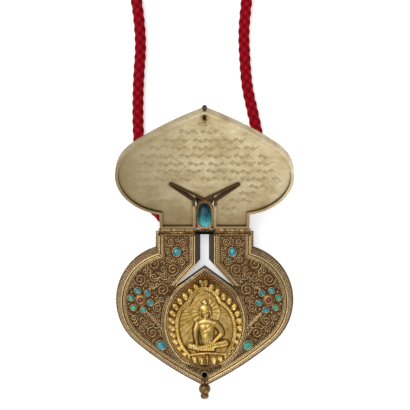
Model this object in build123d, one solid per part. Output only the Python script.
from build123d import *
import math
import os
from collections import namedtuple

# Heart-shaped ghau amulet box, lying open on its back.  Millimetres.
# +Z is the front of the box, +Y runs from the tip towards the hinge and the cord, +X is the viewer's right.
# The origin lies on the back sheet, below the widest part of the leaf that frames the gold plaque.

# Plan of the box's front face, as distances from the hinge axis and from the centre line
HINGE_Y = 55.0
LOBE_RADIUS = 31.0
LOBE_OUT = 21.1
LOBE_DOWN = 44.9
FLANK_ANGLE = -50.0
FLANK_RADIUS = 195.0
NECK_HALF = 28.6
NECK_END = 1.2
SLOT_HALF = 5.8
SLOT_CORNER_DOWN = 22.0
GAP_END_OUT = 17.2
GAP_END_DOWN = 34.7
GAP_TAIL = 1.0
LEAF_APEX_DOWN = 23.4

# The walls lean outwards from the front face to the back sheet
FLARE = 3.2
NECK_FLARE = 1.4
SLOT_FLARE = 3.1
GAP_FLARE = 0.4

# Leaf that frames the plaque, below its shoulders, as heights above its lowest point
LEAF_WIDEST_HALF = 25.4
LEAF_WIDEST_UP = 32.0
LEAF_FOOT_HALF = 13.0
LEAF_FOOT_UP = 4.5

# Heights and sheet gauges of the box
WALL = 0.8
BACK_SHEET = 0.8
BOX_DEPTH = 14.9
FACE_SHEET = 0.7
BORDER_HEIGHT = 1.1
BORDER_WIDTH = 1.0
BORDER_STEP = 0.35
BASE_WIRE = 1.0
EDGE_SETBACK = 0.05
FRAME_WIDTH = 1.8
WINDOW_SETBACK = 2.2
PLAQUE_FLANGE_SETBACK = 1.0
PLAQUE_SHEET = 0.8
SEAT_CLEARANCE = 0.15

# Hinge
HINGE_GAP = 0.25
LID_DROP = 0.8
BARREL_RADIUS = 1.3
PIN_RADIUS = 0.55
PIN_CLEARANCE = 0.05
PIN_FIT = 0.02
PIN_HEAD_RADIUS = 1.1
HINGE_START = 6.8
END_KNUCKLE = 5.3
MIDDLE_KNUCKLE = 8.4
KNUCKLE_GAP = 0.3
HINGE_FOOT_LENGTH = 2.4
HINGE_FOOT_SHEET = 0.6
HEEL_REACH = 2.2
HEEL_SHEET = 0.9
HINGE_CLEAR = 3.7

# Lid
LID_OVERHANG = 0.5
LID_NECK_HALF = 27.6
LID_NECK_END = 1.7
LID_SLOT_HALF = 5.5
LID_SLIT_CORNER_DOWN = 24.6
LID_SLIT_OUT = 20.2
LID_SLIT_DOWN = 38.9
LID_SLIT_TAIL = 0.7
LID_APEX_DOWN = 26.0
LID_DEPTH = 4.5
LID_SHEET = 0.7
LID_RIM = 1.8
LID_SLIT_RIM = 0.7
LID_RECESS = 1.2
LID_OPEN_ANGLE = 134.5
LID_KNOB_RADIUS = 1.5
LID_KNOB_NECK = 0.9

# Closing peg on the lid and its socket near the tip of the box
SOCKET_FROM_TIP = 4.8
SOCKET_RADIUS = 2.65
SOCKET_BORE = 1.75
SOCKET_LENGTH = 5.0
SOCKET_PROUD = 0.8
PEG_RADIUS = 1.1
PEG_LENGTH = 4.3
PEG_FOOT_RADIUS = 2.2
PEG_FOOT_SHEET = 0.4

# Finial at the tip
FINIAL_HEIGHT = 7.4
FINIAL_NECK_RADIUS = 2.0
FINIAL_BEAD_RADIUS = 3.7
FINIAL_BEAD_PAST_TIP = 5.3
FINIAL_WAIST_RADIUS = 1.7
FINIAL_DROP_RADIUS = 2.7
FINIAL_DROP_STEP = 4.1
FINIAL_RIBS = 12

# Stones and their collets
FLOWER_FROM_EDGE = 12.3
FLOWER_ABOVE_LOBE = 1.0
FLOWER_RING = 6.2
FLOWER_STONES = 6
FLOWER_TURN = 16.0
FLOWER_STONE_RADIUS = 1.8
GARNET_RADIUS = 1.6
GARNET_SEAT_RADIUS = 3.7
NECK_STONE_OUT = 17.3
NECK_STONE_DOWN = 13.9
NECK_STONE_HALF_WIDTH = 2.4
NECK_STONE_HALF_LENGTH = 2.8
LOWER_STONE_OUT = 27.0
LOWER_STONE_FROM_TIP = 23.3
LOWER_STONE_HALF_WIDTH = 2.8
LOWER_STONE_HALF_LENGTH = 3.0
COLLET_WALL = 0.4
COLLET_HEIGHT = 0.9
STONE_FIT = 0.03
STONE_HEIGHT = 2.0
GARNET_HEIGHT = 1.9
GIRDLE = 0.7
SMALL_SIDES = 8
LARGE_SIDES = 12
CREST_SIDES = 20
TURNED_SIDES = 10

# Crest: a large turquoise in an oval bezel beyond the hinge, on a bar that ties the two necks together
CREST_UP = 8.8
CREST_HALF_WIDTH = 5.2
CREST_HALF_LENGTH = 8.3
CREST_FULLNESS = 0.7
CREST_BEZEL_WALL = 0.8
CREST_FLANGE = 0.9
CREST_BEZEL_FLOOR = 0.8
CREST_BEZEL_DEPTH = 4.2
CREST_STONE_HEIGHT = 5.6
CREST_BAR_HALF = 11.5
CREST_BAR_BOTTOM = 10.2
CREST_BAR_HEIGHT = 3.0
CREST_BAR_SHEET = 1.2
CREST_TONGUE_HALF = 2.6
CREST_TONGUE_REACH = 13.0
CREST_TONGUE_SHEET = 1.0

# Bails on the ends of the necks, and the neck cord that runs through them
CORD_RADIUS = 3.7
CORD_SIDES = 6
BAIL_INNER_X = 6.4
BAIL_WIDTH = 6.2
BAIL_SHEET = 0.9
BAIL_CLEARANCE = 0.3
BAIL_LIFT = 0.15
CORD_BEHIND_BAR = 0.4
CORD_EXIT = 13.0
CORD_FIRST_RUN = 7.0
CORD_LAST_RUN = 15.0
COIL_X = -8.4
COIL_UP = 193.0
COIL_RADIUS = 37.0
COIL_LEAD = 7.6
COIL_LOW = 4.85
COIL_STEP = 8.3
TIE_WIDTH = 7.0
TIE_SHEET = 0.8
TIE_CLEARANCE = 0.3
TIE_BEVEL = 2.4

# Route of the two legs of the cord: to the right of the centre line, beyond the hinge axis, above the table
LEFT_LEG = [
    (-26.4, 6.9, 4.6),
    (-32.8, 14.0, 4.1),
    (-37.0, 26.4, 3.85),
    (-40.0, 42.5, 3.85),
    (-42.0, 60.0, 3.85),
    (-42.2, 78.0, 3.85),
    (-41.7, 97.0, 3.85),
    (-40.2, 115.0, 3.85),
    (-41.4, 133.0, 3.85),
    (-44.0, 150.0, 4.1),
]
RIGHT_LEG = [
    (26.4, 6.9, 4.6),
    (32.2, 14.6, 4.1),
    (36.2, 26.8, 3.85),
    (37.4, 42.5, 3.85),
    (34.9, 59.0, 3.85),
    (30.0, 74.0, 3.85),
    (26.7, 90.0, 3.85),
    (25.4, 107.0, 3.85),
    (24.6, 124.0, 3.85),
    (26.0, 139.5, 4.6),
    (27.8, 155.0, 8.8),
]

# Places that follow from the outline
FLANK_TURN = math.radians(FLANK_ANGLE)
FLANK_X = LOBE_OUT - (FLANK_RADIUS - LOBE_RADIUS) * math.cos(FLANK_TURN)
FLANK_DOWN = LOBE_DOWN + (FLANK_RADIUS - LOBE_RADIUS) * math.sin(FLANK_TURN)
TIP_DOWN = FLANK_DOWN + math.sqrt(FLANK_RADIUS**2 - FLANK_X**2)
SOCKET_DOWN = TIP_DOWN - SOCKET_FROM_TIP
LEAF_BOTTOM_DOWN = SOCKET_DOWN - SOCKET_RADIUS - SEAT_CLEARANCE
FLOWER_OUT = LOBE_OUT + LOBE_RADIUS - FLOWER_FROM_EDGE
FLOWER_DOWN = LOBE_DOWN - FLOWER_ABOVE_LOBE
LOWER_STONE_DOWN = TIP_DOWN - LOWER_STONE_FROM_TIP

# Heights that follow from the gauges
FACE_Z = BOX_DEPTH
WALL_TOP = FACE_Z - FACE_SHEET
BORDER_TOP = FACE_Z + BORDER_HEIGHT
LID_RIM_Z = BORDER_TOP + HINGE_GAP
AXIS_Z = LID_RIM_Z + LID_DROP
LID_PLATE_Z = LID_RIM_Z + LID_RECESS
LID_FACE_Z = LID_RIM_Z + LID_DEPTH - LID_SHEET
BAIL_RADIUS = CORD_RADIUS + BAIL_CLEARANCE
CORD_UP = CREST_BAR_SHEET - NECK_END + CORD_BEHIND_BAR + CORD_RADIUS
CORD_Z = BAIL_RADIUS + BAIL_SHEET + BAIL_LIFT
CREST_FLOOR_Z = CREST_BAR_BOTTOM + CREST_TONGUE_SHEET

HINGE_AXIS = Axis((0, HINGE_Y, AXIS_Z), (1, 0, 0))

Outline = namedtuple("Outline", "grow neck slot corner gap_out gap_down tail apex end")
FACE_PLAN = Outline(
    0.0, NECK_HALF, SLOT_HALF, SLOT_CORNER_DOWN, GAP_END_OUT, GAP_END_DOWN,
    GAP_TAIL, LEAF_APEX_DOWN, NECK_END
)
LID_PLAN = Outline(
    LID_OVERHANG, LID_NECK_HALF, LID_SLOT_HALF, LID_SLIT_CORNER_DOWN, LID_SLIT_OUT, LID_SLIT_DOWN,
    LID_SLIT_TAIL, LID_APEX_DOWN, LID_NECK_END
)


def gap_edges(shape, widen):
    """Heading of the gap, its end on the lobe and on the leaf, and the leaf's apex, with the gap widened."""
    run_x = shape.gap_out - shape.slot
    run_d = shape.gap_down - shape.corner
    length = math.hypot(run_x, run_d)
    along = (run_x / length, run_d / length)
    across = (-along[1], along[0])
    tail = (shape.gap_out + shape.tail * across[0], shape.gap_down + shape.tail * across[1])
    edge = math.hypot(tail[0], tail[1] - shape.apex)
    slope = (tail[0] / edge, (tail[1] - shape.apex) / edge)
    apex = (0.0, shape.apex + widen / slope[0])
    end = (shape.gap_out + widen * along[0], shape.gap_down + widen * along[1])
    reach = (end[0] * along[0] + (end[1] - apex[1]) * along[1]) / (slope[0] * along[0] + slope[1] * along[1])
    leaf_end = (reach * slope[0], apex[1] + reach * slope[1])
    lobe_end = (end[0] - widen * across[0], end[1] - widen * across[1])
    return along, lobe_end, leaf_end, apex


def slot_edges(shape, inset, slot_narrow, gap_narrow):
    """Right half of the opening from the slot's lower corner along the gap to the leaf's apex."""
    slot = shape.slot - slot_narrow + inset
    along, lobe_end, leaf_end, apex = gap_edges(shape, inset - gap_narrow)
    corner = (slot, lobe_end[1] + (slot - lobe_end[0]) / along[0] * along[1])
    return [corner, lobe_end, leaf_end, apex]


def plan(shape, inset=0.0, slot_narrow=0.0, gap_narrow=0.0):
    """Heart outline with its slot and the V gap round the leaf's top, drawn in by inset all round."""
    lobe_radius = LOBE_RADIUS + shape.grow - inset
    flank_radius = FLANK_RADIUS + shape.grow - inset
    neck = shape.neck - inset
    end = shape.end + inset
    tip_turn = -math.acos(-FLANK_X / flank_radius)
    notch_turn = math.acos((neck - LOBE_OUT) / lobe_radius)
    opening = slot_edges(shape, inset, slot_narrow, gap_narrow)
    corner = (opening[0][0], end)

    def flank(angle):
        return FLANK_X + flank_radius * math.cos(angle), FLANK_DOWN - flank_radius * math.sin(angle)

    def lobe(angle):
        return LOBE_OUT + lobe_radius * math.cos(angle), LOBE_DOWN - lobe_radius * math.sin(angle)

    runs = [
        (flank(tip_turn), flank((tip_turn + FLANK_TURN) / 2), flank(FLANK_TURN)),
        (lobe(FLANK_TURN), lobe((FLANK_TURN + notch_turn) / 2), lobe(notch_turn)),
        (lobe(notch_turn), (neck, end)),
        ((neck, end), corner),
        (corner, opening[0]),
    ]
    runs += zip(opening, opening[1:])
    return closed_face(runs)


def closed_face(runs):
    """Face from the right half of a symmetric outline, with lines of two points and arcs of three."""
    edges = []
    for side in (1, -1):
        for run in runs if side == 1 else reversed(runs):
            points = [(side * x, HINGE_Y - d) for x, d in (run if side == 1 else reversed(run))]
            edges.append(Line(*points) if len(points) == 2 else ThreePointArc(*points))
    return make_face(edges)


def leaf(inset):
    """Outline of the leaf from its apex over its shoulders to its foot, drawn in by inset."""
    shoulder = gap_edges(FACE_PLAN, 0.0)[2]
    foot = (LEAF_FOOT_HALF, LEAF_BOTTOM_DOWN - LEAF_FOOT_UP)
    widest = (LEAF_WIDEST_HALF, LEAF_BOTTOM_DOWN - LEAF_WIDEST_UP)
    runs = [
        ((0.0, LEAF_BOTTOM_DOWN), foot),
        (foot, widest, shoulder),
        (shoulder, (0.0, LEAF_APEX_DOWN)),
    ]
    return offset(closed_face(runs), -inset, kind=Kind.INTERSECTION)


def slab(face, bottom, height):
    return extrude(Pos(0, 0, bottom) * face, height)


def at(x, down, z):
    return Pos(x, HINGE_Y - down, z)


def oval_corners(half_width, half_length, sides, z=0.0, fullness=1.0):
    """Corners of a many-sided oval, as a stone or its collet is cut by hand; below 1 it grows squarer."""
    corners = []
    for number in range(sides):
        turn = 2 * math.pi * (number + 0.5) / sides
        x = math.copysign(abs(math.cos(turn)) ** fullness, math.cos(turn))
        y = math.copysign(abs(math.sin(turn)) ** fullness, math.sin(turn))
        corners.append(Vector(half_width * x, half_length * y, z))
    return corners


def oval(half_width, half_length, sides, fullness=1.0):
    return make_face(Polyline(oval_corners(half_width, half_length, sides, 0.0, fullness), close=True))


def faceted(sections):
    """Solid of flat facets through many-cornered sections, from the lowest to the highest."""
    faces = [Face(Wire.make_polygon(section)) for section in (sections[0], sections[-1])]
    for low, high in zip(sections, sections[1:]):
        for here in range(len(low)):
            faces.append(Face(Wire.make_polygon([low[here - 1], low[here], high[here], high[here - 1]])))
    return Solid(Shell(faces))


def mirrored(half, z):
    """Corners of a symmetric section from its right half, given right and down."""
    left = [(-x, down) for x, down in reversed(half) if x]
    return [Vector(x, HINGE_Y - down, z) for x, down in half + left]


def mound(corners, middle, levels):
    """Dome of flat facets on any outline, drawn in towards its middle at each height."""
    middle = Vector(*middle)
    return faceted([
        [middle + (Vector(*corner) - middle) * share + Vector(0, 0, z) for corner in corners]
        for z, share in levels
    ])


def turned(sections, sides=TURNED_SIDES):
    """Many-sided turning along Z through distances and radii."""
    return faceted([oval_corners(radius, radius, sides, along) for along, radius in sections])


def bead(centre, radius):
    """Distances and radii of a ball on a turning."""
    return [(centre + radius * math.sin(a), radius * math.cos(a)) for a in (-1.1, -0.6, 0.0, 0.6, 1.1)]


# Shell of the box
def back_plan(inset=0.0):
    back = FACE_PLAN._replace(grow=FLARE, neck=NECK_HALF + NECK_FLARE)
    return plan(back, inset, SLOT_FLARE, GAP_FLARE)


def shell_solid(inset):
    """Solid between back and front sheet: leaning lobes, flanks and necks, less the slot and its gap."""
    height = WALL_TOP - BACK_SHEET
    base = (Align.CENTER, Align.CENTER, Align.MIN)
    lobe = Cone(LOBE_RADIUS + FLARE - inset, LOBE_RADIUS - inset, height, align=base)
    flank = Cone(FLANK_RADIUS + FLARE - inset, FLANK_RADIUS - inset, height, align=base)
    join = (LOBE_OUT + FLANK_RADIUS * math.cos(FLANK_TURN), LOBE_DOWN - FLANK_RADIUS * math.sin(FLANK_TURN))
    wedge = closed_face([
        ((0, join[1]), join),
        (join, (0, LOBE_DOWN + LOBE_OUT * math.tan(FLANK_TURN))),
    ])
    heart = slab(wedge, BACK_SHEET, height)
    for side in (1, -1):
        heart &= at(side * FLANK_X, FLANK_DOWN, BACK_SHEET) * flank
    for side in (1, -1):
        heart += at(side * LOBE_OUT, LOBE_DOWN, BACK_SHEET) * lobe

    def neck(half, z):
        return mirrored([(half - inset, LOBE_DOWN), (half - inset, NECK_END + inset)], z)

    def opening(slot_narrow, gap_narrow, z):
        edge = slot_edges(FACE_PLAN, inset, slot_narrow, gap_narrow)
        return mirrored([(edge[0][0], -LOBE_DOWN)] + edge, z)

    necks = faceted([neck(NECK_HALF + NECK_FLARE, BACK_SHEET), neck(NECK_HALF, WALL_TOP)])
    slot = faceted([opening(SLOT_FLARE, GAP_FLARE, BACK_SHEET), opening(0, 0, WALL_TOP)])
    return heart + necks - slot


def back_sheet():
    return slab(back_plan(), 0, BACK_SHEET)


def side_wall():
    return shell_solid(0.0) - shell_solid(WALL)


def front_sheet():
    sheet = slab(plan(FACE_PLAN), WALL_TOP, FACE_SHEET)
    window = slab(leaf(WINDOW_SETBACK), WALL_TOP, FACE_SHEET)
    hole = at(0, SOCKET_DOWN, WALL_TOP) * Cylinder(SOCKET_RADIUS + STONE_FIT, 4 * FACE_SHEET)
    return sheet - window - hole


def border_wire(setback):
    """One of two wires that edge the lobes, the necks and the slot, stopping at the leaf and the hinge."""
    ring = slab(plan(FACE_PLAN, setback) - plan(FACE_PLAN, setback + BORDER_WIDTH), FACE_Z, BORDER_HEIGHT)
    leaf_room = slab(leaf(0.0), FACE_Z, BORDER_HEIGHT)
    socket_room = at(0, SOCKET_DOWN, FACE_Z) * Cylinder(SOCKET_RADIUS + SEAT_CLEARANCE, 4 * BORDER_HEIGHT)
    hinge_end = at(0, HINGE_CLEAR - NECK_HALF, FACE_Z)
    hinge_room = hinge_end * Box(4 * NECK_HALF, 2 * NECK_HALF, 4 * BORDER_HEIGHT)
    return ring - leaf_room - socket_room - hinge_room


def base_wire():
    """Wire round the foot of the walls, against the back sheet's edge, open at the hinge end."""
    foot = FACE_PLAN._replace(grow=FLARE + BASE_WIRE, neck=NECK_HALF + NECK_FLARE + BASE_WIRE)
    return slab(plan(foot, 0.0, SLOT_FLARE, GAP_FLARE) - back_plan(), 0, BASE_WIRE)


def leaf_frame():
    return slab(leaf(EDGE_SETBACK) - leaf(FRAME_WIDTH), FACE_Z, BORDER_HEIGHT)


# Gold plaque with the seated figure
ARCH_APEX_UP = 50.4
ARCH_NECK_HALF = 9.0
ARCH_NECK_UP = 42.3
ARCH_HALF = 17.4
ARCH_WIDEST_UP = 31.5
ARCH_FOOT_HALF = 12.4
ARCH_FOOT_UP = 10.3
ARCH_WIDTH = 1.5
ARCH_HEIGHT = 0.9
NIMBUS_RADIUS = 8.6
NIMBUS_HEIGHT = 0.4
SEAT_HALF = 11.6
SEAT_FOOT_HALF = 6.6
SEAT_TOP_UP = 11.6
SEAT_BOTTOM_UP = 4.6
SEAT_HEIGHT = 0.9
LOTUS_PETALS = 7
LOTUS_PETAL_HALF = 1.35
LOTUS_PETAL_HEIGHT = 1.5
FIGURE_SINK = 0.6
HEAD_HALF_WIDTH = 2.7
HEAD_HALF_LENGTH = 3.3
HEAD_HEIGHT = 2.2
HEAD_UP = 36.0
TOPKNOT_HALF = 1.4
TOPKNOT_UP = 40.2
EAR_HALF = 0.6
EAR_HALF_LENGTH = 1.5
EAR_HEIGHT = 1.2
NECK_ROOT_HALF = 2.4
SHOULDER_HALF = 6.8
SHOULDER_UP = 29.2
CHEST_HALF = 5.6
CHEST_UP = 25.2
WAIST_HALF = 4.0
WAIST_UP = 17.0
CHEST_HEIGHT = 1.9
ARM_RADIUS = 1.35
LEG_RADIUS = 1.9
KNEE_OUT = 11.4
KNEE_UP = 14.6
ANKLE_OUT = 2.6
ANKLE_UP = 13.4
LIMB_SIDES = 6
FLAMES_A_SIDE = 10
FLAME_SIDES = 6
FLAME_OUT = 2.8
FLAME_HALF = 1.9
FLAME_HALF_LENGTH = 2.4
FLAME_HEIGHT = 1.0


def plaque_face(runs):
    """Face from the right half of an outline, given right and up from the leaf's lowest point."""
    return closed_face([[(x, LEAF_BOTTOM_DOWN - up) for x, up in run] for run in runs])


def on_plaque(x, up):
    return at(x, LEAF_BOTTOM_DOWN - up, FACE_Z)


def limb(start, end, radius):
    """Rounded limb between two points given as right and up."""
    run_x = end[0] - start[0]
    run_y = end[1] - start[1]
    length = math.hypot(run_x, run_y)
    first = bead(0, radius)
    last = bead(length, radius)
    shape = turned(first[1:3] + last[2:4], LIMB_SIDES)
    return on_plaque(*start) * Rot(0, 0, math.degrees(math.atan2(run_y, run_x))) * Rot(0, 90, 0) * shape


def seated_figure():
    """Figure in the earth-touching pose: one hand in the lap, the other over the shin, legs crossed."""
    half = [
        (WAIST_HALF, WAIST_UP),
        (CHEST_HALF, CHEST_UP),
        (SHOULDER_HALF, SHOULDER_UP),
        (NECK_ROOT_HALF, SHOULDER_UP + ARM_RADIUS),
    ]
    trunk = half + [(-x, up) for x, up in reversed(half)]
    body = on_plaque(0, 0) * mound(trunk, (0, CHEST_UP), dome_levels(GIRDLE, CHEST_HEIGHT))
    body += on_plaque(0, HEAD_UP) * stone(HEAD_HALF_WIDTH, HEAD_HALF_LENGTH, HEAD_HEIGHT, LARGE_SIDES)
    body += on_plaque(0, TOPKNOT_UP) * stone(TOPKNOT_HALF, TOPKNOT_HALF, CHEST_HEIGHT, SMALL_SIDES)
    for side in (1, -1):
        ear = on_plaque(side * HEAD_HALF_WIDTH, HEAD_UP)
        body += ear * stone(EAR_HALF, EAR_HALF_LENGTH, EAR_HEIGHT, LIMB_SIDES)
    elbow_left = (-SHOULDER_HALF - ARM_RADIUS, WAIST_UP + ARM_RADIUS)
    elbow_right = (KNEE_OUT - ARM_RADIUS, WAIST_UP + LEG_RADIUS)
    body += limb((0, HEAD_UP), (0, SHOULDER_UP), ARM_RADIUS)
    body += limb((-SHOULDER_HALF, SHOULDER_UP), elbow_left, ARM_RADIUS)
    body += limb(elbow_left, (-SHOULDER_HALF, SEAT_TOP_UP), ARM_RADIUS)
    body += limb((SHOULDER_HALF, SHOULDER_UP), elbow_right, ARM_RADIUS)
    body += limb(elbow_right, (WAIST_HALF / 2, WAIST_UP), ARM_RADIUS)
    body += limb((-KNEE_OUT, KNEE_UP), (ANKLE_OUT, ANKLE_UP), LEG_RADIUS)
    body += limb((KNEE_OUT, KNEE_UP), (-ANKLE_OUT, ANKLE_UP + ARM_RADIUS), LEG_RADIUS)
    return body


def flame_ring():
    """Row of flame tongues round the outside of the arch."""
    foot = (ARCH_FOOT_HALF + FLAME_OUT / 2, ARCH_FOOT_UP + FLAME_OUT)
    widest = (ARCH_HALF + FLAME_OUT, ARCH_WIDEST_UP)
    neck = (ARCH_NECK_HALF + FLAME_OUT, ARCH_NECK_UP + FLAME_OUT / 2)
    apex = (0, ARCH_APEX_UP + 1.5 * FLAME_OUT)
    path = Wire([ThreePointArc(foot, widest, neck), Line(neck, apex)])
    corners = oval_corners(FLAME_HALF, FLAME_HALF_LENGTH, FLAME_SIDES)
    tongue = mound(corners, (0, 0), [(0, 1), (FLAME_HEIGHT, 0.45)])
    tongues = []
    for number in range(FLAMES_A_SIDE):
        share = (number + 0.5) / FLAMES_A_SIDE
        place = path.position_at(share)
        way = path.tangent_at(share)
        lean = math.degrees(math.atan2(way.Y, way.X))
        tongues += [on_plaque(side * place.X, place.Y) * Rot(0, 0, side * lean) * tongue for side in (1, -1)]
    return tongues


def image_plaque():
    flange = slab(leaf(PLAQUE_FLANGE_SETBACK), WALL_TOP - PLAQUE_SHEET, PLAQUE_SHEET)
    field = slab(leaf(WINDOW_SETBACK + SEAT_CLEARANCE), WALL_TOP, FACE_SHEET)
    arch = plaque_face([
        ((0, ARCH_FOOT_UP), (ARCH_FOOT_HALF, ARCH_FOOT_UP)),
        ((ARCH_FOOT_HALF, ARCH_FOOT_UP), (ARCH_HALF, ARCH_WIDEST_UP), (ARCH_NECK_HALF, ARCH_NECK_UP)),
        ((ARCH_NECK_HALF, ARCH_NECK_UP), (0, ARCH_APEX_UP)),
    ])
    rim = slab(arch - offset(arch, -ARCH_WIDTH, kind=Kind.INTERSECTION), FACE_Z, ARCH_HEIGHT)
    nimbus = on_plaque(0, HEAD_UP) * extrude(oval(NIMBUS_RADIUS, NIMBUS_RADIUS, CREST_SIDES), NIMBUS_HEIGHT)
    seat = plaque_face([
        ((0, SEAT_BOTTOM_UP), (SEAT_FOOT_HALF, SEAT_BOTTOM_UP)),
        ((SEAT_FOOT_HALF, SEAT_BOTTOM_UP), (SEAT_HALF, SEAT_TOP_UP)),
        ((SEAT_HALF, SEAT_TOP_UP), (0, SEAT_TOP_UP)),
    ])
    relief = rim + nimbus + slab(seat, FACE_Z, SEAT_HEIGHT) + seated_figure() + flame_ring()
    middle = (SEAT_TOP_UP + SEAT_BOTTOM_UP) / 2
    half_length = (SEAT_TOP_UP - SEAT_BOTTOM_UP) / 2
    petal = stone(LOTUS_PETAL_HALF, half_length, LOTUS_PETAL_HEIGHT, LIMB_SIDES)
    for number in range(LOTUS_PETALS):
        x = (number - (LOTUS_PETALS - 1) / 2) * 2 * LOTUS_PETAL_HALF
        relief += on_plaque(x, middle) * petal
    window = leaf(WINDOW_SETBACK + SEAT_CLEARANCE)
    return flange + field + (relief & slab(window, FACE_Z - FIGURE_SINK, BOX_DEPTH))


# Stones and collets
def stone(half_width, half_length, height, sides, fullness=1.0):
    """Cabochon: a dome in two steps on a straight girdle, standing on its own floor."""
    corners = oval_corners(half_width, half_length, sides, 0.0, fullness)
    return mound(corners, (0, 0), dome_levels(GIRDLE, height))


def dome_levels(girdle, height):
    """Heights of a dome's steps above its girdle, and how far each is drawn in."""
    dome = height - girdle
    return [(0, 1), (girdle, 1), (girdle + 0.65 * dome, 0.78), (height, 0.36)]


def collet(half_width, half_length, sides):
    inner = oval(half_width + STONE_FIT, half_length + STONE_FIT, sides)
    outer = oval(half_width + STONE_FIT + COLLET_WALL, half_length + STONE_FIT + COLLET_WALL, sides)
    return extrude(outer - inner, COLLET_HEIGHT)


def flower_places(side):
    """Centres of the stones round a flower, on the chosen side, as right and down."""
    places = []
    for number in range(FLOWER_STONES):
        turn = math.radians(FLOWER_TURN + number * 360 / FLOWER_STONES)
        out = FLOWER_OUT + FLOWER_RING * math.sin(turn)
        places.append((side * out, FLOWER_DOWN - FLOWER_RING * math.cos(turn)))
    return places


def set_out(shape, places):
    return Compound([(at(x, down, FACE_Z) * shape).solid() for x, down in places])


def garnet_seat():
    disc = extrude(oval(GARNET_SEAT_RADIUS, GARNET_SEAT_RADIUS, LARGE_SIDES), COLLET_HEIGHT)
    hole = oval(GARNET_RADIUS + STONE_FIT, GARNET_RADIUS + STONE_FIT, SMALL_SIDES)
    return disc - Pos(0, 0, COLLET_HEIGHT / 2) * extrude(hole, COLLET_HEIGHT)


def garnet():
    return Pos(0, 0, COLLET_HEIGHT / 2) * stone(
        GARNET_RADIUS, GARNET_RADIUS, GARNET_HEIGHT - COLLET_HEIGHT / 2, SMALL_SIDES
    )


# Closing socket and finial
def catch_socket():
    top = FACE_Z + SOCKET_PROUD
    tube = at(0, SOCKET_DOWN, top) * Cylinder(
        SOCKET_RADIUS, SOCKET_LENGTH, align=(Align.CENTER, Align.CENTER, Align.MAX)
    )
    bore = at(0, SOCKET_DOWN, top) * Cylinder(
        SOCKET_BORE, 2 * (SOCKET_LENGTH - FACE_SHEET)
    )
    return tube - bore


def finial():
    """Ribbed drop of two beads whose root is fitted to the leaning walls at the tip."""
    first = bead(FINIAL_BEAD_PAST_TIP, FINIAL_BEAD_RADIUS)
    second = bead(FINIAL_BEAD_PAST_TIP + FINIAL_DROP_STEP, FINIAL_DROP_RADIUS)
    waist = ((first[-1][0] + second[-3][0]) / 2, FINIAL_WAIST_RADIUS)
    drop = turned([(-FINIAL_BEAD_RADIUS, FINIAL_NECK_RADIUS)] + first + [waist] + second[-3:], FINIAL_RIBS)
    return at(0, TIP_DOWN, FINIAL_HEIGHT) * Rot(90, 0, 0) * drop - shell_solid(0.0)


# Hinge
def hinge_plane(x):
    """Plane across the hinge axis, with its own x towards +Y and its own y towards +Z."""
    return Plane(origin=(x, HINGE_Y, AXIS_Z), x_dir=(0, 1, 0), z_dir=(1, 0, 0))


def strip(y0, y1, z0, z1):
    """Rectangle on the hinge plane between two distances along Y and two along Z from the axis."""
    return Pos((y0 + y1) / 2, (z0 + z1) / 2) * Rectangle(y1 - y0, z1 - z0)


def knuckle(side, start, length, foot, bore):
    profile = Circle(BARREL_RADIUS) + foot - Circle(bore)
    first = start if side > 0 else -start - length
    return extrude(hinge_plane(first) * profile, length)


def box_knuckle(side):
    seat = FACE_Z - AXIS_Z
    foot = strip(-HINGE_FOOT_LENGTH, 0, seat, seat + HINGE_FOOT_SHEET)
    web = strip(-BARREL_RADIUS, 0, seat, 0)
    start = HINGE_START + END_KNUCKLE + KNUCKLE_GAP
    return knuckle(side, start, MIDDLE_KNUCKLE, foot + web, PIN_RADIUS + PIN_CLEARANCE)


def lid_knuckles(side):
    """The two end knuckles of one hinge, on the lid, each with a heel that stops the lid when it is open."""
    web = strip(-LID_NECK_END, 0, -LID_DROP, HEEL_SHEET)
    heel = strip(0, HEEL_REACH, -HEEL_SHEET / 2, HEEL_SHEET / 2)
    far = HINGE_START + END_KNUCKLE + MIDDLE_KNUCKLE + 2 * KNUCKLE_GAP
    bore = PIN_RADIUS + PIN_FIT
    pair = [knuckle(side, start, END_KNUCKLE, web + heel, bore) for start in (HINGE_START, far)]
    return Compound([piece.solid() for piece in pair])


def hinge_pin(side):
    """Pin with a ball at each end, standing just clear of the outer knuckles."""
    length = 2 * END_KNUCKLE + MIDDLE_KNUCKLE + 2 * KNUCKLE_GAP
    first = HINGE_START if side > 0 else -HINGE_START - length
    reach = bead(0, PIN_HEAD_RADIUS)[-1][0] + SEAT_CLEARANCE
    pin = extrude(hinge_plane(first - reach) * Circle(PIN_RADIUS), length + 2 * reach)
    for centre in (first - reach, first + length + reach):
        pin += hinge_plane(centre) * turned(bead(0, PIN_HEAD_RADIUS), SMALL_SIDES)
    return pin


# Lid, drawn shut and swung open about the hinge
def open_lid(shape):
    return shape.rotate(HINGE_AXIS, -LID_OPEN_ANGLE)


def lid_wall():
    well = plan(LID_PLAN, LID_RIM, 0.0, LID_RIM - LID_SLIT_RIM)
    return slab(plan(LID_PLAN) - well, LID_RIM_Z, LID_FACE_Z - LID_RIM_Z)


def lid_face():
    return slab(plan(LID_PLAN), LID_FACE_Z, LID_SHEET)


def lid_plate():
    well = plan(LID_PLAN, LID_RIM + EDGE_SETBACK, 0.0, LID_RIM - LID_SLIT_RIM)
    return slab(well, LID_PLATE_Z, LID_SHEET)


def lid_peg():
    """Peg with a bevelled end on a small washer, soldered to the inner plate."""
    sections = [
        (-PEG_LENGTH, PEG_RADIUS / 2),
        (-PEG_LENGTH + PEG_RADIUS / 2, PEG_RADIUS),
        (-PEG_FOOT_SHEET, PEG_RADIUS),
        (-PEG_FOOT_SHEET, PEG_FOOT_RADIUS),
        (0, PEG_FOOT_RADIUS),
    ]
    return at(0, SOCKET_DOWN, LID_PLATE_Z) * turned(sections, LARGE_SIDES)


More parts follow.
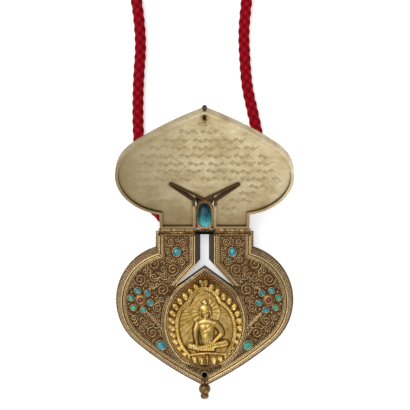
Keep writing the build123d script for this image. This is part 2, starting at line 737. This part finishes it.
def lid_knob():
    """Small ball on the tip of the lid, to lift it by."""
    height = (LID_RIM_Z + LID_FACE_Z) / 2
    tip = HINGE_Y - plan(LID_PLAN).bounding_box().min.Y
    shank = [(-LID_RIM, LID_KNOB_NECK), (0, LID_KNOB_NECK)]
    ball = turned(shank + bead(LID_KNOB_RADIUS, LID_KNOB_RADIUS)[1:])
    return at(0, tip, height) * Rot(90, 0, 0) * ball - slab(plan(LID_PLAN), LID_RIM_Z, LID_DEPTH)


# Crest
def crest_bracket():
    """Bar across the ends of the necks, with the tongue that carries the bezel."""
    bar = at(0, NECK_END - CREST_BAR_SHEET / 2, CREST_BAR_BOTTOM) * Box(
        2 * CREST_BAR_HALF, CREST_BAR_SHEET, CREST_BAR_HEIGHT, align=(Align.CENTER, Align.CENTER, Align.MIN)
    )
    reach = CREST_TONGUE_REACH + NECK_END
    tongue = at(0, NECK_END - reach / 2, CREST_BAR_BOTTOM) * Box(
        2 * CREST_TONGUE_HALF, reach, CREST_TONGUE_SHEET, align=(Align.CENTER, Align.CENTER, Align.MIN)
    )
    return bar + tongue


def crest_bezel():
    """Strip set on edge round the stone, on a base plate that stands out all round as a flange."""

    def crest_oval(grow):
        return oval(CREST_HALF_WIDTH + grow, CREST_HALF_LENGTH + grow, CREST_SIDES, CREST_FULLNESS)

    cup = extrude(crest_oval(0), CREST_BEZEL_DEPTH) + extrude(crest_oval(CREST_FLANGE), CREST_BEZEL_FLOOR)
    well = extrude(crest_oval(-CREST_BEZEL_WALL), CREST_BEZEL_DEPTH)
    bar_top = CREST_BAR_BOTTOM + CREST_BAR_HEIGHT
    bar_room = at(0, NECK_END - CREST_BAR_SHEET / 2, bar_top / 2) * Box(
        2 * CREST_BAR_HALF, CREST_BAR_SHEET + 2 * SEAT_CLEARANCE, bar_top + 2 * SEAT_CLEARANCE
    )
    return at(0, -CREST_UP, CREST_FLOOR_Z) * (cup - Pos(0, 0, CREST_BEZEL_FLOOR) * well) - bar_room


def crest_stone():
    fit = CREST_BEZEL_WALL + STONE_FIT
    size = (CREST_HALF_WIDTH - fit, CREST_HALF_LENGTH - fit, CREST_STONE_HEIGHT)
    gem = stone(*size, CREST_SIDES, CREST_FULLNESS)
    return at(0, -CREST_UP, CREST_FLOOR_Z + CREST_BEZEL_FLOOR) * gem


# Bails and cord
def bail(side):
    """Strap bent round the cord and soldered to the end of a neck."""
    depth = CORD_UP + NECK_END
    inner = Circle(BAIL_RADIUS) + Pos(-depth / 2, 0) * Rectangle(depth, 2 * BAIL_RADIUS)
    radius = BAIL_RADIUS + BAIL_SHEET
    outer = Circle(radius) + Pos(-depth / 2, 0) * Rectangle(depth, 2 * radius)
    first = BAIL_INNER_X if side > 0 else -BAIL_INNER_X - BAIL_WIDTH
    place = Plane(origin=(first, HINGE_Y + CORD_UP, CORD_Z), x_dir=(0, 1, 0), z_dir=(1, 0, 0))
    return extrude(place * (outer - inner), BAIL_WIDTH)


def cord_section(start, heading):
    return Plane(origin=start, z_dir=heading) * RegularPolygon(CORD_RADIUS, CORD_SIDES)


def cord_through():
    section = cord_section((-CORD_EXIT, HINGE_Y + CORD_UP, CORD_Z), (1, 0, 0))
    return extrude(section, 2 * CORD_EXIT)


def cord_leg(side, route, end):
    """Tube from a bail to the coil, on straight runs with the widest arcs that fit between them."""
    start = Vector(side * CORD_EXIT, HINGE_Y + CORD_UP, CORD_Z)
    points = [start, start + Vector(side * CORD_FIRST_RUN, 0, 0)]
    points += [Vector(x, HINGE_Y + up, z) for x, up, z in route]
    points += [end - Vector(0, CORD_LAST_RUN, 0), end]
    radii = []
    for before, here, after in zip(points, points[1:], points[2:]):
        half_turn = math.radians((here - before).get_angle(after - here)) / 2
        radii.append(0.45 * min((here - before).length, (after - here).length) / math.tan(half_turn))
    path = FilletPolyline(*points, radius=radii)
    print("cord leg", round(path.length, 1), "mm long, arc radii", [round(r, 1) for r in radii])
    return sweep(cord_section(start, points[1] - start), path=path)


def biarc(start, start_way, end, end_way):
    """Two tangent arcs between two points with given headings."""
    chord = end - start
    ways = start_way + end_way
    spread = 2 * (1 - start_way.dot(end_way))
    lean = chord.dot(ways)
    reach = (math.sqrt(lean * lean + spread * chord.dot(chord)) - lean) / spread
    first_corner = start + start_way * reach
    second_corner = end - end_way * reach
    middle = (first_corner + second_corner) * 0.5
    middle_way = (second_corner - first_corner).normalized()
    return [TangentArc(start, middle, tangent=start_way), TangentArc(middle, end, tangent=middle_way)]


def coil_stations():
    """Points and headings every quarter turn: half a turn on the table, half a turn climbing, half above."""
    stations = []
    for quarter in range(7):
        turn = math.pi - quarter * math.pi / 2
        climb = min(max((quarter - 2) / 2, 0), 1)
        slope = COIL_STEP / (math.pi * COIL_RADIUS) if 2 < quarter < 4 else 0.0
        place = Vector(
            COIL_X + COIL_RADIUS * math.cos(turn),
            HINGE_Y + COIL_UP + COIL_RADIUS * math.sin(turn),
            COIL_LOW + climb * COIL_STEP,
        )
        stations.append((place, Vector(math.sin(turn), -math.cos(turn), 1.5 * slope).normalized()))
    return stations


def cord_coil():
    stations = coil_stations()
    lead = Vector(0, COIL_LEAD, 0)
    edges = [Line(stations[0][0] - lead, stations[0][0])]
    for (start, start_way), (end, end_way) in zip(stations, stations[1:]):
        edges += biarc(start, start_way, end, end_way)
    edges.append(Line(stations[-1][0], stations[-1][0] - lead))
    path = Wire(edges)
    coil = sweep(cord_section(stations[0][0] - lead, lead), path=path)
    points = [path.position_at(step / 300) for step in range(301)]
    spacing = path.length / 300
    apart = round(4 * CORD_RADIUS / spacing)
    gaps = [
        (points[i] - points[j]).length - 2 * CORD_RADIUS
        for i in range(301)
        for j in range(i + apart, 301)
    ]
    print("cord coil", round(path.length, 1), "mm long, least gap to itself", round(min(gaps), 2), "mm")
    return coil


def cord_tie():
    """Flat band round the two layers of the coil, on its far side."""
    half = CORD_RADIUS + TIE_CLEARANCE
    height = COIL_STEP + 2 * half
    inner = chamfer(Rectangle(2 * half, height).vertices(), TIE_BEVEL)
    outer = chamfer(Rectangle(2 * (half + TIE_SHEET), height + 2 * TIE_SHEET).vertices(), TIE_BEVEL)
    place = Plane(
        origin=(COIL_X - TIE_WIDTH / 2, HINGE_Y + COIL_UP + COIL_RADIUS, COIL_LOW + COIL_STEP / 2),
        x_dir=(0, 1, 0),
        z_dir=(1, 0, 0),
    )
    return extrude(place * (outer - inner), TIE_WIDTH)


def main():
    os.makedirs("parts", exist_ok=True)
    sides = {"left": -1, "right": 1}
    lead = Vector(0, COIL_LEAD, 0)
    coil_in, coil_out = [coil_stations()[end][0] - lead for end in (0, -1)]
    nodes = {
        "back_sheet": back_sheet(),
        "side_wall": side_wall(),
        "front_sheet": front_sheet(),
        "border_wire_outer": border_wire(EDGE_SETBACK),
        "border_wire_inner": border_wire(EDGE_SETBACK + BORDER_WIDTH + BORDER_STEP),
        "base_wire": base_wire(),
        "leaf_frame": leaf_frame(),
        "image_plaque": image_plaque(),
        "catch_socket": catch_socket(),
        "tip_finial": finial(),
        "crest_bracket": crest_bracket(),
        "crest_bezel": crest_bezel(),
        "crest_turquoise": crest_stone(),
        "lid_wall": open_lid(lid_wall()),
        "lid_face": open_lid(lid_face()),
        "lid_plate": open_lid(lid_plate()),
        "lid_peg": open_lid(lid_peg()),
        "lid_knob": open_lid(lid_knob()),
        "cord_through_bails": cord_through(),
        "cord_left_leg": cord_leg(-1, LEFT_LEG, coil_in),
        "cord_right_leg": cord_leg(1, RIGHT_LEG, coil_out),
        "cord_coil": cord_coil(),
        "cord_tie": cord_tie(),
    }
    for name, side in sides.items():
        flower = at(side * FLOWER_OUT, FLOWER_DOWN, FACE_Z)
        neck = at(side * NECK_STONE_OUT, NECK_STONE_DOWN, FACE_Z)
        lower = at(side * LOWER_STONE_OUT, LOWER_STONE_DOWN, FACE_Z)
        petal_stone = stone(FLOWER_STONE_RADIUS, FLOWER_STONE_RADIUS, STONE_HEIGHT, SMALL_SIDES)
        petal_collet = collet(FLOWER_STONE_RADIUS, FLOWER_STONE_RADIUS, SMALL_SIDES)
        neck_size = (NECK_STONE_HALF_WIDTH, NECK_STONE_HALF_LENGTH)
        lower_size = (LOWER_STONE_HALF_WIDTH, LOWER_STONE_HALF_LENGTH)
        nodes |= {
            f"{name}_bail": bail(side),
            f"{name}_box_knuckle": box_knuckle(side),
            f"{name}_lid_knuckles": open_lid(lid_knuckles(side)),
            f"{name}_hinge_pin": hinge_pin(side),
            f"{name}_flower_turquoises": set_out(petal_stone, flower_places(side)),
            f"{name}_flower_collets": set_out(petal_collet, flower_places(side)),
            f"{name}_garnet_seat": flower * garnet_seat(),
            f"{name}_garnet": flower * garnet(),
            f"{name}_neck_collet": neck * collet(*neck_size, LARGE_SIDES),
            f"{name}_neck_turquoise": neck * stone(*neck_size, STONE_HEIGHT, LARGE_SIDES),
            f"{name}_lower_collet": lower * collet(*lower_size, LARGE_SIDES),
            f"{name}_lower_turquoise": lower * stone(*lower_size, STONE_HEIGHT, LARGE_SIDES),
        }
    for name, shape in nodes.items():
        export_step(shape, f"parts/{name}.step")
    print(len(nodes), "pieces")


main()
